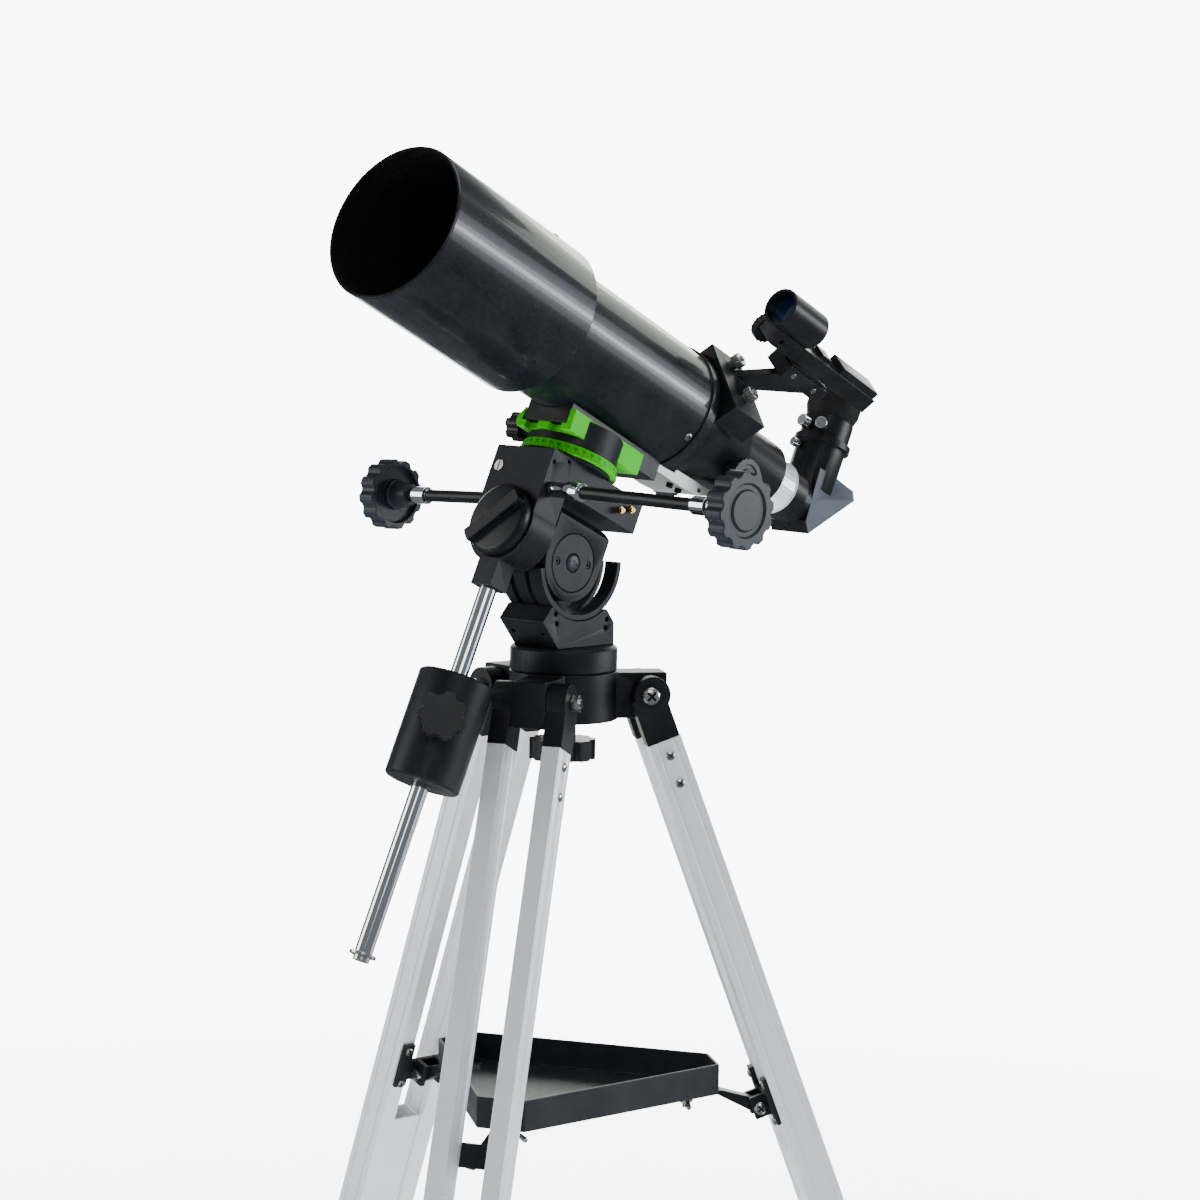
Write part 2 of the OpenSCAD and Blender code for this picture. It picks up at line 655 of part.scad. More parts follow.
module focuser_body() {
  color("#2b2e33") tube_frame() difference() {
    union() {
      turned([[0, -tube_rear], [43.5, -tube_rear], [43.5, -tube_rear + 14], [40, -tube_rear + 14], [40, -tube_rear + 1],
        [0, -tube_rear + 1]]);
      turned([[0, -tube_rear], [tube_r, -tube_rear], [tube_r - 1, -tube_rear - 8], [27, -tube_rear - 65],
        [25.5, -tube_rear - 70], [25.5, -focus_end + 1], [24.8, -focus_end], [0, -focus_end]]);
      box([-14, -31, pinion_t - 14], [14, 0, pinion_t + 14]);
    }
    rod(draw_r + 0.05, -focus_end - 1, 0);
    turned([[0, -tube_rear + 20], [38, -tube_rear + 20], [38, -tube_rear - 8], [22, -tube_rear - 50],
      [0, -tube_rear - 50]]);
    translate([0, pinion_s, pinion_t]) rotate([0, 90, 0]) rod(5.6, -9, 9);
    translate([0, pinion_s, pinion_t]) rotate([0, 90, 0]) rod(3.08, -40, 40);
    box([-9, -draw_r - 6, pinion_t - 6], [9, 0, pinion_t + 6]);
  }
}
module drawtube() {
  color("#d5d8da") tube_frame() difference() {
    union() {
      rod(draw_r, -draw_end, -100);
      rod(20.3, -draw_end - 13, -draw_end);
    }
    rod(holder_r, -draw_end - 14, -90);
    for (a = [60, 180]) rotate([0, 0, a]) translate([0, 0, -draw_end - 6.5]) rotate([0, 90, 0]) rod(1.5, 10, 30);
  }
}
module focus_knobs() {
  color("#2c3036") tube_frame() translate([0, pinion_s, pinion_t]) rotate([0, 90, 0]) {
    rod(3, -34, 34);
    rod(5, -8.5, 8.5);
    for (side = [0, 1]) mirror([0, 0, side]) translate([0, 0, 29.5]) difference() {
      union() {
        lobed(16.2, 24, 1.2, 9);
        rod(8, -5, 1);
      }
      translate([0, 0, 7.8]) difference() {
        rod(12, 0, 4);
        rod(8.5, -1, 5);
      }
    }
  }
}
module diagonal_body() {
  color("#16181a") tube_frame() difference() {
    union() {
      rod(holder_r - 0.05, -draw_end - 20, -draw_end + 16);
      rod(17, diag_t + 6, -draw_end - 14);
      translate([17, 0, diag_t]) rotate([0, -90, 0]) linear_extrude(height = 34)
        polygon([[14, 26], [-30, 26], [-35, 20], [4, -22], [11, -15]]);
      translate([0, 0, diag_t]) rotate([-90, 0, 0]) {
        rod(18.3, 12, 46);
        rod(21, 46, 51);
        rod(18.3, 50, holder_top);
      }
    }
    rod(13.5, diag_t, -draw_end + 20);
    mirror_slab(0.05);
    translate([0, 0, diag_t]) rotate([-90, 0, 0]) {
      rod(13.5, 0, 60);
      rod(holder_r, 36, 90);
    }
    translate([0, 0, diag_t]) rotate([-90, 0, 0]) {
      for (a = [-62, -96]) rotate([0, 0, a]) translate([0, 0, 57]) rotate([0, 90, 0]) rod(1.55, 10, 30);
      rotate([0, 0, -106]) translate([0, 0, 41]) rotate([0, 90, 0]) rod(1.55, 10, 30);
    }
  }
}
module mirror_slab(room) {
  translate([12 + room, 0, diag_t]) rotate([0, -90, 0]) linear_extrude(height = 24 + 2 * room)
    polygon([[3 + room, -15], [-24, 15 + room], [-26 - room, 13], [1, -17 - room]]);
}
module diagonal_mirror() { color("#c8d0d6") tube_frame() mirror_slab(0); }
module thumbscrews() {
  color("silver") tube_frame() translate([0, 0, diag_t]) rotate([-90, 0, 0]) {
    for (a = [-62, -96]) rotate([0, 0, a]) translate([holder_r + 0.3, 0, 57]) rotate([0, 90, 0])
      thumbscrew(1.5, 4.5, 4.6, 7);
    rotate([0, 0, -106]) translate([holder_r + 0.3, 0, 41]) rotate([0, 90, 0]) thumbscrew(1.5, 4.5, 3.6, 5);
  }
}
module eyepiece() {
  color("#131416") tube_frame() translate([0, 0, diag_t]) rotate([-90, 0, 0]) {
    tube(holder_r - 0.05, 12.5, 40, holder_top + 1);
    turned([[12.5, holder_top + gap], [17.5, holder_top + gap], [19.8, holder_top + 8], [19.8, holder_top + 16],
      [18.5, holder_top + 24], [12.5, holder_top + 24]]);
    rod(12.5, holder_top + 10, holder_top + 17);
  }
}

// Finder
module finder_shoe() {
  color("#17181a") {
    tube_frame() difference() {
      rotate([0, 0, shoe_angle]) intersection() {
        box([30, -33, -112], [50, 27, -77]);
        rod(60, -112, -76);
      }
      rod(tube_r + 1.55, -tube_rear - 0.1, 0);
      turned([[0, -tube_rear], [tube_r, -tube_rear], [tube_r - 1, -tube_rear - 8], [27, -tube_rear - 65], [0, -tube_rear - 65]]);
      rotate([0, 0, shoe_angle]) for (u = [-15, 16.6]) translate([30, u, -96]) rotate([0, 90, 0]) rod(2.05, 0, 40);
    }
    finder_frame() translate([0, 3, 0]) rotate([90, 0, 0]) linear_extrude(height = 6)
      polygon([[47, -88], [47, -111], [71.2, -158], [71.2, -122]]);
  }
}
module finder_nuts() {
  color("#b9bdb8") tube_frame() rotate([0, 0, shoe_angle]) for (u = [-15, 16.6])
    translate([0, u, -96]) rotate([0, 90, 0]) {
      rod(2, 44, 60);
      rod(5, 50.2, 58.5);
    }
}
module finder_clamp() {
  color("#1a1b1d") finder_frame() difference() {
    box([71.2, -11, -162], [82.2, 11, -116]);
    for (t = [-126, -151]) translate([77, 0, t]) rotate([90, 0, 0]) rod(2.4, 8, 20);
  }
}
module finder_body() {
  color("#1a1b1d") finder_frame() difference() {
    union() {
      box([85.3, -9.5, bar_rear], [97.5, 9.5, bar_front]);
      translate([85.5, 6, -138]) rotate([90, 0, 0]) rod(3, 0, 12);
      box([97, -8.6, bar_rear + 2], [103, 8.6, -158]);
      box([97, -6, -146], [101, 6, -132]);
      translate([finder_rise, 0, 0]) rod(sight_r, sight_front - sight_len, sight_front);
      box([97, -8, sight_front - sight_len + 2], [102, 8, bar_front]);
    }
    translate([finder_rise, 0, 0]) rod(sight_r - 1.8, sight_front - 60, sight_front + 1);
    translate([91, -10, -93]) rotate([90, 0, 0]) rod(1.8, -3, 1);
    translate([87.7, 9.6, -96]) rotate([90, 0, 0]) rod(1.58, -1, 4);
  }
}
module finder_lens() {
  color("#2f5fae", 0.5) finder_frame() translate([finder_rise, 0, 0]) rod(sight_r - 1.8, sight_front - 12, sight_front - 10);
}
module finder_dial() {
  color("#141517") finder_frame() translate([87.7, 9.8, -96]) rotate([-90, 0, 0]) {
    lobed(11.3, 20, 1.2, 6);
    rod(1.5, -1.5, 1);
  }
}

tripod_hub();
tripod_screws();
leg_brackets();
leg_rails();
leg_lock_blocks();
brace_arms();
tray();
wing_nuts();
lower_leg(0);  // lower_leg_a
lower_leg(1);  // lower_leg_b
lower_leg(2);  // lower_leg_c
rubber_foot(0);  // rubber_foot_a
rubber_foot(1);  // rubber_foot_b
rubber_foot(2);  // rubber_foot_c
leg_lock_screw(0);  // leg_lock_screw_a
leg_lock_screw(1);  // leg_lock_screw_b
leg_lock_screw(2);  // leg_lock_screw_c
azimuth_knob();
azimuth_disc();
mount_bracket();
latitude_lock();
ra_housing();
ra_shaft();
ra_worm_wheel();
dec_housing();
housing_screws();
cw_shaft();
cw_stop();
counterweight();
counterweight_knob();
ra_worm_rod();
ra_slow_knob();
ra_clutch_knob();
dec_worm_rod();
dec_slow_knob();
dec_shaft();
dec_worm_wheel();
setting_circle();
dec_drum();
saddle();
saddle_knob_a();
saddle_knob_b();
dovetail_plate();
dew_shield();
objective_cell();
objective_lens();
main_tube();
focuser_body();
drawtube();
focus_knobs();
diagonal_body();
diagonal_mirror();
thumbscrews();
eyepiece();
finder_shoe();
finder_nuts();
finder_clamp();
finder_body();
finder_lens();
finder_dial();
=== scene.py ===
"""Looks of the small refractor on its equatorial mount: materials, fine detail, studio and camera."""

import json
import math

import bmesh
import bpy
from mathutils import Matrix, Vector


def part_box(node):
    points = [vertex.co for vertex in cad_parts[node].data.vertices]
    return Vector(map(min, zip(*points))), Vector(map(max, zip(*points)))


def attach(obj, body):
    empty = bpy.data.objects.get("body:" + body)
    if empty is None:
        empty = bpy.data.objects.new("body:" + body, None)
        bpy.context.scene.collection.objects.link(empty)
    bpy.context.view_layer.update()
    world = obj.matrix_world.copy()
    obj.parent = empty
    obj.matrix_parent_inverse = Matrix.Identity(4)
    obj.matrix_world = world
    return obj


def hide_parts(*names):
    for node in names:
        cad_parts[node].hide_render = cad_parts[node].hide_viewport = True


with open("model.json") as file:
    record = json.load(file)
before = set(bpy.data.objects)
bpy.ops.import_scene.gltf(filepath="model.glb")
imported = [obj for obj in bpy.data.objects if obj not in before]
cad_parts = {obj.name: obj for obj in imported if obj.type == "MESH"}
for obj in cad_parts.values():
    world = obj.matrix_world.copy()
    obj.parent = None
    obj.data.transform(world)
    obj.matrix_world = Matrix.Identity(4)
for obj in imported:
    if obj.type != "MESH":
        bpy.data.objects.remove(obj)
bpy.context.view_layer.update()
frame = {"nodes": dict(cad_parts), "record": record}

MM = 0.001


# ---------------------------------------------------------------- frames, in millimetres
def shift(x=0.0, y=0.0, z=0.0):
    return Matrix.Translation((x, y, z))


def turn(degrees, axis):
    return Matrix.Rotation(math.radians(degrees), 4, axis)


disc_low, disc_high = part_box("azimuth_disc")
HUB = Vector(((disc_low.x + disc_high.x) / 2, (disc_low.y + disc_high.y) / 2, disc_high.z)) / MM
LATITUDE = 25.1
PIVOT = Vector((0, -4.4, 56.2))
PIVOT_BACK = 11.1
TUBE_RISE = 133.4
DEC_FORE = 11.6
DEC_TURN = 2.8
FINDER_ANGLE = 50
LEG_AZIMUTH = (-64.7, 55.3, 175.3)
LEG_LEAN = 20.5
LEG_PIVOT = 55.1
LEG_DROP = 32.5

WORLD = Matrix.Scale(MM, 4)
HEAD = WORLD @ Matrix.Translation(HUB)
# In the polar, declination and tube frames Z runs forwards or up the named axis.
POLAR = HEAD @ Matrix.Translation(PIVOT) @ turn(-LATITUDE, "X") @ shift(y=-PIVOT_BACK) @ turn(90, "X")
DEC = POLAR @ shift(z=DEC_FORE) @ turn(-90, "X")
TUBE = POLAR @ shift(y=TUBE_RISE, z=DEC_FORE) @ turn(DEC_TURN, "Y")
SADDLE = TUBE @ shift(y=-TUBE_RISE)
FINDER = TUBE @ turn(FINDER_ANGLE, "Z")
RA_WORM = POLAR @ shift(y=32.7, z=41) @ turn(-1.2, "Z") @ turn(90, "Y")
DEC_WORM = POLAR @ shift(y=45, z=-15) @ turn(2, "Z") @ turn(-90, "Y")
DIAGONAL = TUBE @ shift(z=-247) @ turn(-90, "X")
LEGS = [
    HEAD @ turn(a, "Z") @ shift(x=LEG_PIVOT, z=-LEG_DROP) @ turn(-LEG_LEAN, "Y") for a in LEG_AZIMUTH
]


# ---------------------------------------------------------------- materials
def link(nodes, source, target):
    nodes.id_data.links.new(source, target)


def noise(nodes, coords, scale, detail=3.0, roughness=0.55, stretch=None):
    """A noise texture in object space, optionally stretched to make brushed lines."""
    texture = nodes.new("ShaderNodeTexNoise")
    texture.inputs["Scale"].default_value = scale
    texture.inputs["Detail"].default_value = detail
    texture.inputs["Roughness"].default_value = roughness
    if stretch:
        mapping = nodes.new("ShaderNodeMapping")
        mapping.inputs["Rotation"].default_value = stretch[0]
        mapping.inputs["Scale"].default_value = stretch[1]
        link(nodes, coords, mapping.inputs["Vector"])
        coords = mapping.outputs["Vector"]
    link(nodes, coords, texture.inputs["Vector"])
    return texture.outputs["Fac"]


def ramp(nodes, value, low, high, out_low, out_high):
    """value between low and high, rescaled to out_low and out_high."""
    node = nodes.new("ShaderNodeMapRange")
    for name, number in (("From Min", low), ("From Max", high), ("To Min", out_low), ("To Max", out_high)):
        node.inputs[name].default_value = number
    link(nodes, value, node.inputs["Value"])
    return node.outputs["Result"]


def blended(nodes, factor, colour_a, colour_b):
    """Colour a where factor is 0 and colour b where it is 1; either may be a socket."""
    node = nodes.new("ShaderNodeMix")
    node.data_type = "RGBA"
    link(nodes, factor, node.inputs["Factor"])
    for name, colour in (("A", colour_a), ("B", colour_b)):
        socket = [s for s in node.inputs if s.name == name and s.type == "RGBA"][0]
        if isinstance(colour, tuple):
            socket.default_value = (*colour, 1)
        else:
            link(nodes, colour, socket)
    return [s for s in node.outputs if s.type == "RGBA"][0]


def bumped(nodes, height, depth):
    node = nodes.new("ShaderNodeBump")
    node.inputs["Strength"].default_value = 1.0
    node.inputs["Distance"].default_value = depth
    link(nodes, height, node.inputs["Height"])
    return node.outputs["Normal"]


def finish_of(
    name,
    colour,
    roughness,
    metallic=0.0,
    tint=0.12,
    grain=(1500, 0.00006),
    spread=0.10,
    worn_and_edge_highlight=None,
    coat=0.0,
    coat_roughness=0.05,
    specular=0.5,
    flake=None,
    lines=None,
):
    """A painted, plastic or metal surface.

    tint is how far the colour wanders, grain its bump (scale per metre, depth in metres), spread how far
    the roughness wanders, worn_and_edge_highlight the lighter colour on edges (part wear, part a painted
    highlight of edges catching light), flake the metallic flakes in a paint and lines the brushing
    (rotation, stretch).
    """
    material = bpy.data.materials.new(name)
    material.use_nodes = True
    nodes = material.node_tree.nodes
    shader = nodes["Principled BSDF"]
    coords = nodes.new("ShaderNodeTexCoord").outputs["Object"]
    patches = noise(nodes, coords, 45, 4)
    lighter = tuple(min(1.0, c * (1 + tint) + 0.004) for c in colour)
    darker = tuple(c * (1 - tint) for c in colour)
    base = blended(nodes, ramp(nodes, patches, 0.3, 0.7, 0, 1), darker, lighter)
    fine = noise(nodes, coords, grain[0], 2.5, stretch=lines)
    rough = ramp(nodes, fine, 0.25, 0.75, max(0.02, roughness - spread), min(1.0, roughness + spread))
    if flake:
        cells = nodes.new("ShaderNodeTexVoronoi")
        cells.inputs["Scale"].default_value = flake[0]
        link(nodes, coords, cells.inputs["Vector"])
        sparkle = nodes.new("ShaderNodeSeparateColor")
        link(nodes, cells.outputs["Color"], sparkle.inputs["Color"])
        base = blended(nodes, ramp(nodes, sparkle.outputs["Red"], 0.80, 0.98, 0, 1), base, flake[1])
    # Lighter colour on the edges from the bevel mask: part wear, part a painted highlight of edges catching
    # light.
    if worn_and_edge_highlight:
        rounded = nodes.new("ShaderNodeBevel")
        rounded.samples = 4
        rounded.inputs["Radius"].default_value = 0.0007
        flat = nodes.new("ShaderNodeNewGeometry")
        facing = nodes.new("ShaderNodeVectorMath")
        facing.operation = "DOT_PRODUCT"
        link(nodes, rounded.outputs["Normal"], facing.inputs[0])
        link(nodes, flat.outputs["Normal"], facing.inputs[1])
        edge = ramp(nodes, facing.outputs["Value"], 0.995, 0.93, 0, 0.75)
        wear_and_edge_light = nodes.new("ShaderNodeMath")
        wear_and_edge_light.operation = "MULTIPLY"
        link(nodes, edge, wear_and_edge_light.inputs[0])
        link(nodes, ramp(nodes, noise(nodes, coords, 160, 4), 0.35, 0.6, 0.35, 1), wear_and_edge_light.inputs[1])
        base = blended(nodes, wear_and_edge_light.outputs["Value"], base, worn_and_edge_highlight)
    link(nodes, base, shader.inputs["Base Color"])
    link(nodes, rough, shader.inputs["Roughness"])
    link(nodes, bumped(nodes, fine, grain[1]), shader.inputs["Normal"])
    shader.inputs["Metallic"].default_value = metallic
    shader.inputs["Coat Weight"].default_value = coat
    shader.inputs["Coat Roughness"].default_value = coat_roughness
    shader.inputs["Specular IOR Level"].default_value = specular
    return material


def glass_of(name, colour, roughness, film):
    """Coated glass: a clear body and a coloured film that shows at a glance."""
    material = bpy.data.materials.new(name)
    material.use_nodes = True
    nodes = material.node_tree.nodes
    shader = nodes["Principled BSDF"]
    coords = nodes.new("ShaderNodeTexCoord").outputs["Object"]
    rings = ramp(nodes, noise(nodes, coords, 30, 2), 0.3, 0.7, 0, 1)
    link(nodes, blended(nodes, rings, colour, film), shader.inputs["Base Color"])
    link(nodes, ramp(nodes, rings, 0, 1, roughness, roughness + 0.03), shader.inputs["Roughness"])
    shader.inputs["Transmission Weight"].default_value = 0.85
    shader.inputs["IOR"].default_value = 1.52
    shader.inputs["Coat Weight"].default_value = 1.0
    shader.inputs["Coat Roughness"].default_value = 0.02
    return material


BRUSH_DOWN = ((0, 0, 0), (1, 1, 0.02))
CAST = finish_of(
    "cast_paint", (0.0042, 0.0051, 0.0074), 0.44, grain=(1500, 0.00009),
    worn_and_edge_highlight=(0.036, 0.041, 0.052), specular=0.25,
)
TRIPOD_CAST = finish_of(
    "tripod_paint", (0.0036, 0.0042, 0.0056), 0.41, grain=(1900, 0.00006),
    worn_and_edge_highlight=(0.024, 0.027, 0.033), specular=0.26,
)
SATIN = finish_of(
    "satin_black", (0.0028, 0.0032, 0.0041), 0.35, grain=(2600, 0.00003),
    worn_and_edge_highlight=(0.015, 0.017, 0.022), specular=0.28,
)
KNOB = finish_of(
    "knob_plastic", (0.0085, 0.0120, 0.0185), 0.38, grain=(2400, 0.00004),
    worn_and_edge_highlight=(0.032, 0.040, 0.054), specular=0.35,
)
RUBBER = finish_of(
    "rubber", (0.006, 0.006, 0.0063), 0.66, grain=(1200, 0.00007), worn_and_edge_highlight=(0.012, 0.012, 0.012), specular=0.25
)
GLOSS = finish_of(
    "tube_lacquer",
    (0.0018, 0.0021, 0.0032),
    0.34,
    grain=(500, 0.000002),
    spread=0.04,
    coat=0.45,
    coat_roughness=0.07,
    specular=0.3,
    flake=(2600, (0.014, 0.021, 0.040)),
)
# Flat black: the real blackening inside the dew shield and on the objective cell, and painted shade in screw
# slots, crosses, sockets and holes.
BLACK_INSIDE_AND_HOLE_SHADE = finish_of(
    "baffle_black_and_hole_shade", (0.0025, 0.0025, 0.0026), 0.85, grain=(900, 0.00006), specular=0.15
)
GREEN = finish_of(
    "green_enamel",
    (0.030, 0.43, 0.002),
    0.42,
    tint=0.03,
    grain=(900, 0.000004),
    spread=0.03,
    coat=0.03,
    specular=0.10,
    worn_and_edge_highlight=(0.06, 0.56, 0.01),
)
RAIL = finish_of(
    "rail_aluminium", (0.90, 0.92, 0.94), 0.36, 0.6, 0.02, (900, 0.00001), 0.08, lines=BRUSH_DOWN
)
CHROME = finish_of("chrome", (0.82, 0.83, 0.85), 0.07, 1.0, 0.02, (600, 0.000002), 0.03)
STEEL = finish_of("screw_steel", (0.72, 0.72, 0.70), 0.22, 1.0, 0.06, (1400, 0.00001), 0.10)
NICKEL = finish_of("nickel", (0.58, 0.59, 0.56), 0.30, 1.0, 0.06, (1400, 0.00001), 0.10)
BRASS = finish_of("brass", (0.83, 0.56, 0.16), 0.20, 1.0, 0.10, (1400, 0.00001), 0.10)
# Greenish grey metal whose colour is a painted reflection of the pale backdrop on the dovetail's rear.
DOVE_PAINTED_REFLECTION = finish_of("dovetail_painted_reflection", (0.40, 0.425, 0.40), 0.42, 0.8, 0.06, (1100, 0.00002), 0.10)
DRAW = finish_of("drawtube_aluminium", (0.88, 0.89, 0.90), 0.30, 0.45, 0.01, (900, 0.000003), 0.03)
PLATE = finish_of(
    "plate_enamel", (0.034, 0.043, 0.060), 0.45, grain=(1500, 0.00006),
    worn_and_edge_highlight=(0.09, 0.11, 0.14), specular=0.35,
)
TRAY = finish_of(
    "tray_paint", (0.0085, 0.0105, 0.0145), 0.44, grain=(1300, 0.0001),
    worn_and_edge_highlight=(0.045, 0.052, 0.062), specular=0.35,
)
INK = finish_of("scale_ink", (0.006, 0.02, 0.004), 0.5, grain=(900, 0.00001))
OBJECTIVE = glass_of("objective_glass", (0.55, 0.62, 0.80), 0.02, (0.30, 0.55, 0.50))
BLUE_GLASS = glass_of("finder_glass", (0.03, 0.09, 0.34), 0.03, (0.02, 0.14, 0.42))
MIRROR = finish_of("mirror_silver", (0.86, 0.88, 0.90), 0.04, 1.0, 0.01, (300, 0.000001), 0.01)


# ---------------------------------------------------------------- pieces
SMOOTH_BELOW = 38  # degrees between faces
MERGE = 0.00001  # metres
FLAT_WITHIN = 0.6  # degrees


def piece(name, bm, materials, body, replaces=(), bevel=0.0, angle=32, segments=2):
    """Turns a bmesh in metres into a finished object that rides on a CAD body."""
    bmesh.ops.recalc_face_normals(bm, faces=bm.faces)
    mesh = bpy.data.meshes.new(name)
    bm.to_mesh(mesh)
    bm.free()
    for material in materials:
        mesh.materials.append(material)
    mesh.shade_smooth()
    mesh.set_sharp_from_angle(angle=math.radians(SMOOTH_BELOW))
    o = bpy.data.objects.new(name, mesh)
    bpy.context.scene.collection.objects.link(o)
    if bevel:
        m = o.modifiers.new("edges", "BEVEL")
        m.width = bevel * MM
        m.segments = segments
        m.limit_method = "ANGLE"
        m.angle_limit = math.radians(angle)
        m.use_clamp_overlap = False
        m.harden_normals = True
    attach(o, body)
    if replaces:
        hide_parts(*replaces)


def lathe(bm, place, outline, segments=128, material=0):
    """Turns an (r, z) outline round Z."""
    rings = []
    for r, z in outline:
        if r < 1e-6:
            rings.append([bm.verts.new(place @ Vector((0, 0, z)))])
        else:
            rings.append(
                [
                    bm.verts.new(place @ Vector((r * math.cos(a), r * math.sin(a), z)))
                    for a in (2 * math.pi * k / segments for k in range(segments))
                ]
            )
    for low, high in zip(rings, rings[1:] + rings[:1]):
        for k in range(segments):
            j = (k + 1) % segments
            corners = [low[k % len(low)], low[j % len(low)], high[j % len(high)], high[k % len(high)]]
            corners = list(dict.fromkeys(corners))
            if len(corners) > 2:
                bm.faces.new(corners).material_index = material


def prism(bm, place, outline, low, high, material=0):
    """Draws a flat outline up from z = low to z = high."""
    bottom = [bm.verts.new(place @ Vector((x, y, low))) for x, y in outline]
    top = [bm.verts.new(place @ Vector((x, y, high))) for x, y in outline]
    faces = [bm.faces.new(bottom[::-1]), bm.faces.new(top)]
    for k in range(len(outline)):
        j = (k + 1) % len(outline)
        faces.append(bm.faces.new([bottom[k], bottom[j], top[j], top[k]]))
    for face in faces:
        face.material_index = material


def block(bm, place, low, high, material=0):
    outline = [(low[0], low[1]), (high[0], low[1]), (high[0], high[1]), (low[0], high[1])]
    prism(bm, place, outline, low[2], high[2], material)


def from_cad(node, bevel, materials, choose=None, segments=2):
    """The CAD node's own shape, with its edges softened as paint and moulding soften them."""
    bm = bmesh.new()
    bm.from_mesh(frame["nodes"][node].data)
    bmesh.ops.remove_doubles(bm, verts=bm.verts, dist=MERGE)
    bmesh.ops.dissolve_limit(bm, angle_limit=math.radians(FLAT_WITHIN), verts=bm.verts, edges=bm.edges)
    if choose:
        for face in bm.faces:
            face.material_index = choose(face)
    body = next(b for b, members in frame["record"]["behaviour"]["bodies"].items() if node in members)
    piece(node + "_body", bm, materials, body, (node,), bevel, segments=segments)


def arc(radius, start, end, steps, centre=(0.0, 0.0)):
    """Points round an arc from one angle to another, in degrees."""
    return [
        (
            centre[0] + radius * math.cos(math.radians(start + (end - start) * k / steps)),
            centre[1] + radius * math.sin(math.radians(start + (end - start) * k / steps)),
        )
        for k in range(steps + 1)
    ]


def domed_screw(bm, place, r, h):
    """A round screw head standing on z = 0 with a dark cross standing through its dome, painted shade for
    the cross recess.
    """
    dome = [(0.0, -0.4), (r, -0.4), (r, h * 0.25)]
    for angle in (math.radians(15 * k) for k in range(1, 6)):
        dome.append((r * math.cos(angle), h * 0.25 + h * 0.75 * math.sin(angle)))
    lathe(bm, place, dome + [(0.0, h)], 32)
    for k in range(2):
        cut = place @ turn(90 * k + 25, "Z")
        block(bm, cut, (-r * 0.62, -r * 0.13, h * 0.35), (r * 0.62, r * 0.13, h * 1.01), 1)


def knurled(bm, place, r, low, high, teeth):
    """A knurled ring or head with chamfered ends."""
    count = 2 * teeth
    rings = []
    chamfer = ((r - 0.6, low, 0), (r, low + 0.5, 0.35), (r, high - 0.5, 0.35), (r - 0.6, high, 0))
    for radius, z, depth in chamfer:
        ring = []
        for k in range(count):
            a, reach = 2 * math.pi * k / count, radius - depth * (k % 2)
            ring.append(bm.verts.new(place @ Vector((reach * math.cos(a), reach * math.sin(a), z))))
        rings.append(ring)
    bm.faces.new(rings[0][::-1])
    bm.faces.new(rings[-1])
    for lower, upper in zip(rings, rings[1:]):
        for k in range(count):
            j = (k + 1) % count
            bm.faces.new([lower[k], lower[j], upper[j], upper[k]])


def rod(bm, place, r, low, high, segments=24, material=0):
    lathe(bm, place, [(0.0, low), (r, low), (r, high), (0.0, high)], segments, material)


def slotted_disc(bm, place, r, low, high, slot, material=0, recess=1):
    """A flat screw head with a real slot across it, along Y; the slot floor, in the recess material, is
    painted shade in the slot.
    """
    edge = math.degrees(math.asin(slot / r))
    half = arc(r, -90 + edge, 90 - edge, 14)
    rod(bm, place, r, low, high - 0.45, 40, recess)
    for side in (0, 180):
        prism(bm, place @ turn(side, "Z"), half, low, high, material)


# Everything that isn't replaced keeps its CAD shape and gets a finished material.
PLAIN = {
    "azimuth_knob": SATIN,
    "ra_shaft": STEEL,
    "ra_worm_wheel": BRASS,
    "dec_shaft": STEEL,
    "dec_worm_wheel": BRASS,
    "diagonal_mirror": MIRROR,
    "wing_nuts": STEEL,
}
for node, material in PLAIN.items():
    mesh = frame["nodes"][node].data
    mesh.materials.clear()
    mesh.materials.append(material)

# Tripod
for node, bevel in (("tripod_hub", 0.9), ("leg_brackets", 0.6)):
    from_cad(node, bevel, (TRIPOD_CAST,))
for node in ("leg_lock_blocks", "brace_arms"):
    from_cad(node, 0.5, (SATIN,))
from_cad("leg_rails", 0.35, (RAIL,))
from_cad("tray", 0.5, (TRAY,))
for letter in "abc":
    from_cad("lower_leg_" + letter, 0.35, (RAIL,))
    from_cad("rubber_foot_" + letter, 0.8, (RUBBER,))
    from_cad("leg_lock_screw_" + letter, 0.5, (SATIN,))

# Head
for node, bevel in (
    ("azimuth_disc", 0.5),
    ("mount_bracket", 0.5),
    ("ra_housing", 0.45),
    ("dec_housing", 0.45),
    ("counterweight", 0.4),
    ("dec_drum", 0.35),
):
    from_cad(node, bevel, (CAST,))
for node, bevel in (
    ("latitude_lock", 0.5),
    ("counterweight_knob", 0.8),
    ("ra_clutch_knob", 0.7),
    ("saddle_knob_a", 0.4),
    ("saddle_knob_b", 0.4),
):
    from_cad(node, bevel, (SATIN,))
for node in ("ra_slow_knob", "dec_slow_knob"):
    from_cad(node, 0.8, (KNOB,), segments=3)
from_cad("cw_shaft", 0.3, (CHROME,))
from_cad("cw_stop", 0.3, (STEEL,))
from_cad("saddle", 0.45, (GREEN,))
from_cad("setting_circle", 0.2, (GREEN,))


def along(place, face):
    """Where a face's middle lies in a frame, in millimetres."""
    return place.inverted() @ face.calc_center_median()


ROD_END, COUPLING, KNOB_COUPLING = 198, 30, 47
for node, place, mouth in (("ra_worm_rod", RA_WORM, 24.5), ("dec_worm_rod", DEC_WORM, 31.5)):

    def coupling(face, place=place, mouth=mouth):
        z = along(place, face).z
        return 1 if z < mouth + COUPLING or z > ROD_END - KNOB_COUPLING else 0

    from_cad(node, 0.3, (SATIN, CHROME), coupling)

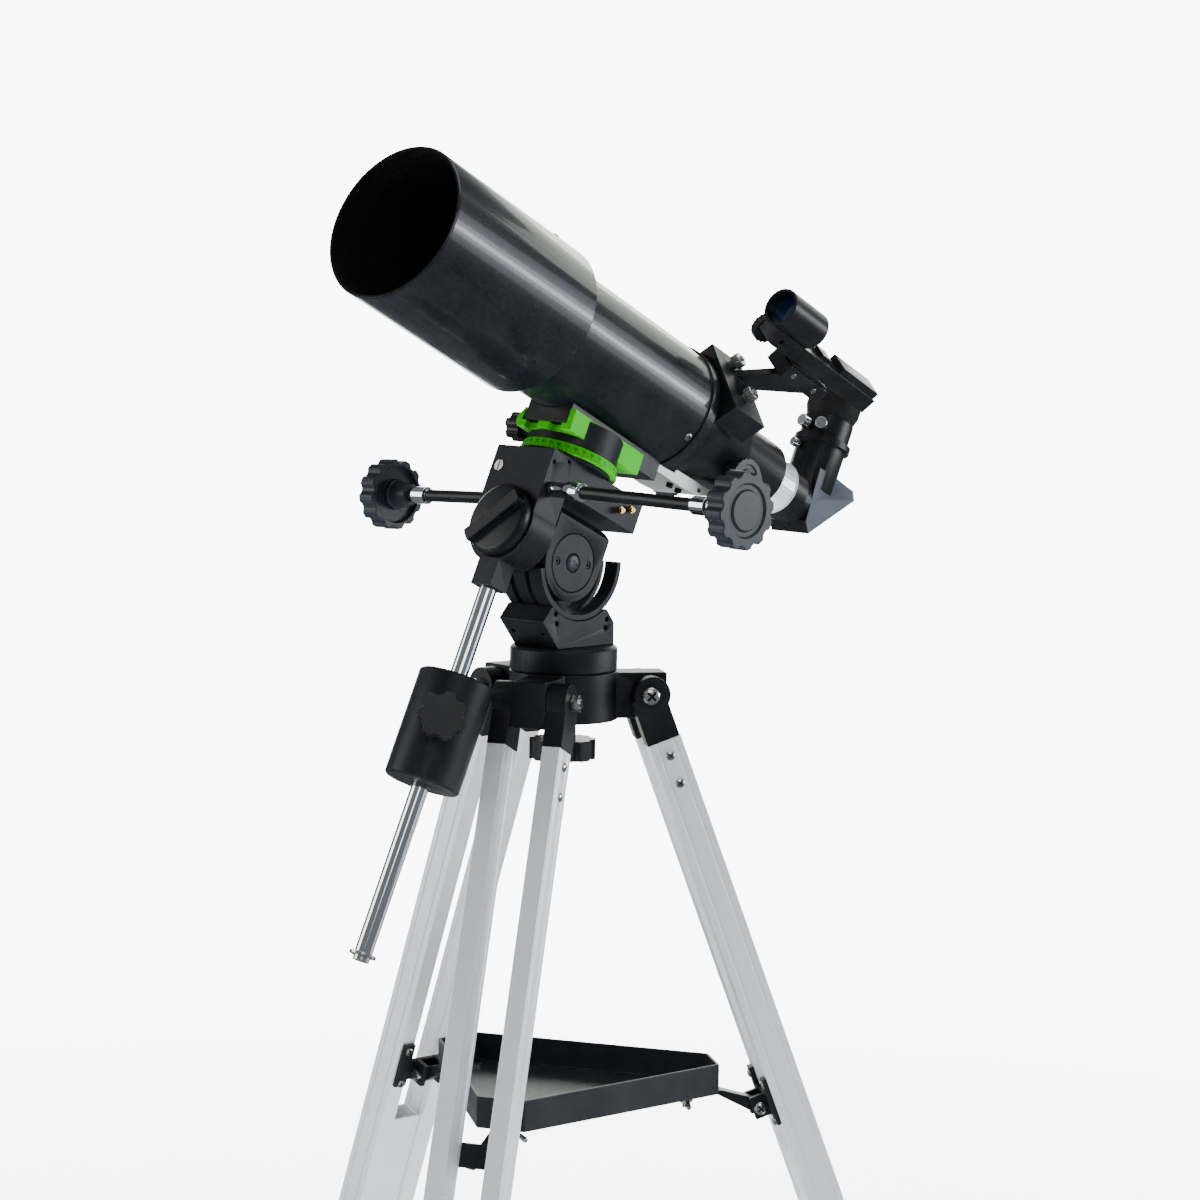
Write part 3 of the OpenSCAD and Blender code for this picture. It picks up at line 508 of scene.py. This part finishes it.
# Optical tube
PLATE_HALF, PLATE_LOW, PLATE_HIGH, TUBE_R = 19.5, 78.4, 92, 45
CRADLE_REAR, CRADLE_FRONT = -66, 34
cradle = [(PLATE_HALF, PLATE_LOW), (PLATE_HALF, PLATE_HIGH)]
cradle += [
    (x, TUBE_RISE - math.sqrt(TUBE_R**2 - x**2)) for x in (PLATE_HALF * (1 - k / 8) for k in range(17))
]
cradle += [(-PLATE_HALF, PLATE_HIGH), (-PLATE_HALF, PLATE_LOW)]
bm = bmesh.new()
prism(bm, SADDLE, cradle, CRADLE_REAR, CRADLE_FRONT)
edgewise = SADDLE @ turn(-90, "Y")  # X is t, Y is s and Z is -x
# The tail under the plate's rear takes the greenish grey painted reflection.
tail = [(-60, 85.5), (-60, 91), (-83, 92), (-84, 95), (-125, 96.2), (-126, 95), (-126, 92)]
tail += [(-112, 87), (-96, 85.5)]
prism(bm, edgewise, tail, -PLATE_HALF + 0.4, PLATE_HALF - 0.4, 1)
# Black discs on the bottom and on both sides paint the shade inside the plate's holes.
for t in (-98, -88):
    rod(bm, SADDLE @ shift(x=14, y=82.6, z=t) @ turn(-90, "X"), 2.4, 0, 4, 24, 2)
for side in (-1, 1):
    rod(bm, SADDLE @ shift(x=side * 19.05, y=91, z=-113) @ turn(90, "Y"), 1.7, -0.1, 0.1, 20, 2)
piece("dovetail_cradle", bm, (SATIN, DOVE_PAINTED_REFLECTION, BLACK_INSIDE_AND_HOLE_SHADE), "ota", ("dovetail_plate",), 0.5)


def lined(face):
    """The inner faces are blackened."""
    middle = along(TUBE, face)
    return 1 if math.hypot(middle.x, middle.y) < 52 else 0


def ringed(face):
    """The drawtube's end ring is black."""
    return 1 if along(TUBE, face).z < -212.2 else 0


from_cad("dew_shield", 0.25, (GLOSS, BLACK_INSIDE_AND_HOLE_SHADE), lined)
from_cad("objective_cell", 0.3, (BLACK_INSIDE_AND_HOLE_SHADE,))
from_cad("objective_lens", 0.3, (OBJECTIVE,))
from_cad("main_tube", 0.25, (GLOSS,))
from_cad("focuser_body", 0.4, (SATIN,))
from_cad("drawtube", 0.25, (DRAW, SATIN), ringed)
from_cad("focus_knobs", 0.35, (KNOB,))


def plated(face):
    """The diagonal's side plates are a lighter grey than its barrels."""
    middle, normal = along(DIAGONAL, face), DIAGONAL.to_3x3().inverted() @ face.normal
    return 1 if 16.8 < abs(middle.x) < 17.3 and abs(normal.normalized().x) > 0.95 else 0


from_cad("diagonal_body", 0.35, (SATIN, PLATE), plated)
for node in ("finder_shoe", "finder_clamp", "finder_body", "finder_dial"):
    from_cad(node, 0.3, (SATIN,))
from_cad("finder_lens", 0.1, (BLUE_GLASS,))
bm = bmesh.new()
pad = [(-160, 82.4), (-118, 82.4)] + [(t, 85.15 - 0.0022 * (t + 138) ** 2) for t in range(-118, -161, -3)]
CLAMP_SCREW = [(2.3, -2), (2.3, 0.1), (2.0, 0.4), (1.2, 0.4), (1.2, -0.8), (0, -0.8), (0, -2)]
# X is along the tube, Y away from it and Z across
under_finder = FINDER @ turn(-90, "Z") @ turn(-90, "Y")
prism(bm, under_finder, pad, -9, 9)
for t in (-126, -151):
    for side in (-1, 1):
        socket = FINDER @ shift(x=77, y=side * 10.4, z=t) @ turn(-side * 90, "X")
        lathe(bm, socket, CLAMP_SCREW, 24, 1)
piece("finder_clamp_pad", bm, (SATIN, NICKEL), "ota")

# ---------------------------------------------------------------- fine detail
# Setting circle: a line each five degrees and generic numbers each ten
CIRCLE = {"r": 34.5, "s": 60.5, "rise": 6.5, "draft": 1.5}
slope = math.degrees(math.atan2(CIRCLE["draft"], CIRCLE["rise"]))


def on_circle(degrees, up):
    """The circle's sloping face at an angle, up millimetres above its lower edge."""
    r = CIRCLE["r"] - CIRCLE["draft"] * up / CIRCLE["rise"]
    return DEC @ turn(degrees, "Z") @ shift(x=r, z=CIRCLE["s"] + up) @ turn(-slope, "Y")


bm = bmesh.new()
for k in range(72):
    length = 1.7 if k % 2 == 0 else 1.0
    block(bm, on_circle(5 * k, 0.6), (-0.1, -0.17, 0), (0.07, 0.17, length))
for k in range(36):
    text = bpy.data.curves.new("number", "FONT")
    text.body = str(min(k % 18, 18 - k % 18) * 10)
    text.size = 3.1
    text.extrude = 0.05
    text.resolution_u = 3
    text.align_x = "CENTER"
    holder = bpy.data.objects.new("number", text)
    digits = bmesh.new()
    digits.from_mesh(holder.to_mesh())
    digits.transform(on_circle(10 * k, 2.9) @ turn(90, "Z") @ turn(90, "X"))
    flat = bpy.data.meshes.new("number")
    digits.to_mesh(flat)
    digits.free()
    bm.from_mesh(flat)
    bpy.data.meshes.remove(flat)
    bpy.data.objects.remove(holder)
    bpy.data.curves.remove(text)
piece("circle_graduations", bm, (INK,), "dec")

# Housing hardware: the slotted screw in front and the brass adjusters
bm = bmesh.new()
# The slot floors are black: painted shade in the slots.
slotted_disc(bm, POLAR @ shift(x=-21.8, y=42.8, z=50), 4, -1, 0.8, 0.5, 0, 1)
for s, t in ((44, -22.5), (48, -31.5)):
    side = POLAR @ shift(x=24, y=s, z=t) @ turn(90, "Y")
    rod(bm, side, 1.8, -1, 3, 24, 2)
    rod(bm, side, 2.6, 1.6, 4.6, 6, 2)
    slotted_disc(bm, side, 1.8, 4, 6, 0.35, 2, 1)
left = POLAR @ shift(x=-31, y=44, z=36) @ turn(-90, "Y")
rod(bm, left, 2.4, -1, 2.2, 6, 2)
slotted_disc(bm, left, 1.7, 1.5, 4, 0.35, 2, 1)
piece("housing_hardware", bm, (STEEL, BLACK_INSIDE_AND_HOLE_SHADE, BRASS), "ra", ("housing_screws",), 0.15)

# The cap on each side of the polar housing: spanner bolt and two socket screws
SOCKET_HEAD = [(2.3, -3.9), (2.3, -1.0), (1.9, -0.7), (1.25, -0.7), (1.25, -2.2), (0, -2.2), (0, -3.9)]
bm = bmesh.new()
for side in (-1, 1):
    cap = POLAR @ shift(x=side * 20, y=-2.8, z=-3.4) @ turn(side * 90, "Y")
    lathe(bm, cap, [(0, -0.8), (5.4, -0.8), (5.4, 0.15), (4.9, 0.45), (1.9, 0.45), (1.5, 0.1), (0, 0.1)], 48)
    for end in (-1, 1):
        # Two black discs just proud of the bolt paint the shade in its spanner holes.
        rod(bm, cap @ shift(x=end * 3.3), 0.75, 0.3, 0.5, 16, 1)
        socket = cap @ shift(x=end * 14, y=end * side * 4)
        lathe(bm, socket, SOCKET_HEAD, 24)
        # A black hexagon just proud of the socket floor paints the shade of the hex socket.
        rod(bm, socket, 1.2, -2.4, -2.15, 6, 1)
piece("polar_cap_hardware", bm, (KNOB, BLACK_INSIDE_AND_HOLE_SHADE), "polar", bevel=0.1)

# Tube and dew shield screws
bm = bmesh.new()
for k in range(3):
    radial = TUBE @ shift(z=-62.5) @ turn(-29.6 + 120 * k, "Z") @ shift(x=44.9) @ turn(90, "Y")
    domed_screw(bm, radial, 2.9, 1.7)
piece("tube_screws", bm, (STEEL, BLACK_INSIDE_AND_HOLE_SHADE), "ota")
bm = bmesh.new()
for k in range(3):
    radial = TUBE @ shift(z=97.6) @ turn(-48 + 120 * k, "Z") @ shift(x=53.2) @ turn(90, "Y")
    domed_screw(bm, radial, 2.4, 1.1)
piece("shield_screws", bm, (SATIN, BLACK_INSIDE_AND_HOLE_SHADE), "ota")

# Tripod fasteners
RAIL_Y, RAIL_OUT, RAIL_DEEP, RAIL_WIDE, RAIL_TOP = 19.25, -1, 23, 12.5, -32
BRACE_IN, BRACE_AT = -21, -300
bm = bmesh.new()
for leg in LEGS:
    across = leg @ turn(90, "X")
    rod(bm, across, 3, -28, 28)
    domed_screw(bm, across @ shift(z=26.7), 6.2, 3.5)
    rod(bm, across, 6, -31.6, -26.6, 6)
    rod(bm, across, 3, -32.4, -31, 24)
    brace = leg @ shift(x=BRACE_IN, z=BRACE_AT) @ turn(90, "X")
    rod(bm, brace, 2.5, -13, 13)
    domed_screw(bm, brace @ shift(z=10.3), 4.6, 2.9)
    rod(bm, brace, 4.4, -13.8, -10.2, 6)
    for side in (-1, 1):
        for z in (RAIL_TOP - 11, RAIL_TOP - 31):
            outer = leg @ shift(RAIL_OUT, side * (RAIL_Y + RAIL_WIDE / 2), z) @ turn(-side * 90, "X")
            domed_screw(bm, outer, 3.4, 2)
        for z in (BRACE_AT - 9.4, BRACE_AT + 17):
            inner = leg @ shift(RAIL_OUT - RAIL_DEEP / 2 - 3, side * RAIL_Y, z) @ turn(-90, "Y")
            domed_screw(bm, inner, 3, 1.8)
piece("tripod_fasteners", bm, (STEEL, BLACK_INSIDE_AND_HOLE_SHADE), "tripod", ("tripod_screws",), 0.15, 50)

# Knurled nuts and thumbscrews
bm = bmesh.new()
for across in (-15, 16.6):
    nut = TUBE @ turn(41, "Z") @ shift(y=across, z=-96) @ turn(90, "Y")
    rod(bm, nut, 2, 44, 60)
    knurled(bm, nut, 5.4, 52.4, 58.5, 24)
    rod(bm, nut, 3.6, 50.2, 53, 32)
piece("finder_knurled_nuts", bm, (NICKEL,), "ota", ("finder_nuts",), 0.12, 50)

bm = bmesh.new()
for angle, height, r, length in ((-62, 57, 4.6, 7), (-96, 57, 4.6, 7), (-106, 41, 3.6, 5)):
    screw = DIAGONAL @ turn(angle, "Z") @ shift(x=16.2, z=height) @ turn(90, "Y")
    rod(bm, screw, 1.5, 0, 5)
    rod(bm, screw, 2.4, 3.2, 5, 24)
    knurled(bm, screw, r, 4.5, 4.5 + length, 20)
piece("knurled_thumbscrews", bm, (STEEL,), "diagonal", ("thumbscrews",), 0.12, 50)

# Eyepiece: chromed barrel, ribbed grip, folded rubber cup and its eye lens
TOP = 67
bm = bmesh.new()
lathe(bm, DIAGONAL, [(15.85, 40), (15.85, TOP + 0.3), (12.6, TOP + 0.3), (12.6, 40)], 96, 1)
grip = [(12.6, TOP + 0.3), (17.3, TOP + 0.3), (17.5, TOP + 0.8), (19.5, TOP + 7)]
for k in range(6):
    z = TOP + 8 + 1.4 * k
    grip += [(19.8, z), (19.8, z + 0.8), (19.35, z + 0.95), (19.35, z + 1.25)]
cup = [(19.6, 16.8), (19.2, 21), (18.4, 23.6), (17.4, 24), (16.4, 23.2), (15.6, 17), (12.6, 17)]
grip += [(r, TOP + rise) for r, rise in cup]
lathe(bm, DIAGONAL, grip, 96)
eye_lens = [(0, 11), (12.6, 11), (12.6, 14), (8, 15.6), (0, 16.2)]
lathe(bm, DIAGONAL, [(r, TOP + rise) for r, rise in eye_lens], 64, 2)
piece("eyepiece_detail", bm, (RUBBER, CHROME, OBJECTIVE), "eyepiece", ("eyepiece",))

# ---------------------------------------------------------------- studio
CENTRE = Vector((0.0, 0.0, 0.62))


def soft_light(name, offset, size, energy, colour=(1, 1, 1), aim=CENTRE):
    data = bpy.data.lights.new(name, "AREA")
    data.shape = "RECTANGLE"
    data.size, data.size_y = size
    data.energy = energy
    data.color = colour
    o = bpy.data.objects.new(name, data)
    o.location = CENTRE + Vector(offset)
    o.rotation_euler = (aim - o.location).to_track_quat("-Z", "Y").to_euler()
    o.visible_camera = False
    bpy.context.scene.collection.objects.link(o)


soft_light("right_core", (2.0, 2.15, 0.30), (1.9, 0.20), 15)
soft_light("right_box", (2.05, 2.2, 0.30), (1.9, 0.62), 16)
soft_light("right_wide", (2.1, 2.25, 0.30), (2.1, 1.5), 18, (0.72, 0.84, 1.0))
soft_light("left_box", (-1.6, -1.9, 0.6), (1.4, 1.8), 30)
soft_light("front_box", (2.0, -1.3, 1.6), (1.2, 1.2), 14)
soft_light("top_box", (0.2, 0.2, 2.6), (2.0, 2.0), 26)
soft_light("back_panel", (-2.4, 2.5, 0.3), (2.8, 2.4), 90, (0.95, 1.0, 0.92))
soft_light("rear_glow", (-0.5, 3.1, 1.3), (2.2, 1.0), 14, (0.95, 1.0, 0.90))

floor_mesh = bmesh.new()
FLOOR_R, FLOOR_TOP, FLOOR_LOW = 2.4, -0.0005, -0.004
floor_rim = [(0.0, FLOOR_TOP), (FLOOR_R, FLOOR_TOP), (FLOOR_R, FLOOR_LOW), (0.0, FLOOR_LOW)]
lathe(floor_mesh, Matrix.Identity(4), floor_rim, 96)
floor = bpy.data.objects.new("floor", bpy.data.meshes.new("floor"))
floor_mesh.to_mesh(floor.data)
bpy.context.scene.collection.objects.link(floor)
floor.visible_glossy = False
paper = bpy.data.materials.new("paper_floor")
paper.use_nodes = True
nodes = paper.node_tree.nodes
nodes["Principled BSDF"].inputs["Base Color"].default_value = (0.86, 0.87, 0.88, 1)
nodes["Principled BSDF"].inputs["Roughness"].default_value = 0.75
nodes["Principled BSDF"].inputs["Emission Color"].default_value = (0.93, 0.94, 0.95, 1)
nodes["Principled BSDF"].inputs["Emission Strength"].default_value = 4.5
radius = nodes.new("ShaderNodeVectorMath")
radius.operation = "LENGTH"
link(nodes, nodes.new("ShaderNodeTexCoord").outputs["Object"], radius.inputs[0])
link(
    nodes,
    ramp(nodes, radius.outputs["Value"], 0.55, 2.2, 1, 0),
    nodes["Principled BSDF"].inputs["Alpha"],
)
floor.data.materials.append(paper)

world = bpy.data.worlds.new("studio")
bpy.context.scene.world = world
world.use_nodes = True
nodes = world.node_tree.nodes
nodes.clear()
output = nodes.new("ShaderNodeOutputWorld")
seen = nodes.new("ShaderNodeBackground")
seen.inputs["Color"].default_value = (0.93, 0.94, 0.95, 1)
seen.inputs["Strength"].default_value = 10.0
lit = nodes.new("ShaderNodeBackground")
lit.inputs["Color"].default_value = (0.85, 0.92, 1.0, 1)
lit.inputs["Strength"].default_value = 0.20
choice = nodes.new("ShaderNodeMixShader")
link(nodes, nodes.new("ShaderNodeLightPath").outputs["Is Camera Ray"], choice.inputs["Fac"])
link(nodes, lit.outputs["Background"], choice.inputs[1])
link(nodes, seen.outputs["Background"], choice.inputs[2])
link(nodes, choice.outputs["Shader"], output.inputs["Surface"])

# The camera stands to the right of the tube, a little above the mount, and is rolled by under a degree.
camera = bpy.data.objects.new("camera", bpy.data.cameras.new("camera"))
AZIMUTH, PITCH, ROLL = math.radians(44.23), math.radians(5.69), math.radians(0.917)
back = Vector(
    (math.sin(AZIMUTH) * math.cos(PITCH), -math.cos(AZIMUTH) * math.cos(PITCH), math.sin(PITCH))
)
right = Vector((math.cos(AZIMUTH), math.sin(AZIMUTH), 0))
up = back.cross(right)
axes = (
    right * math.cos(ROLL) + up * math.sin(ROLL),
    up * math.cos(ROLL) - right * math.sin(ROLL),
    back,
)
camera.matrix_world = Matrix.Translation((1.73397, -1.6886, 0.98642)) @ Matrix(axes).transposed().to_4x4()
camera.data.lens = 106.17
camera.data.sensor_width = 36
camera.data.clip_start, camera.data.clip_end = 0.05, 60
bpy.context.scene.collection.objects.link(camera)
bpy.context.scene.camera = camera
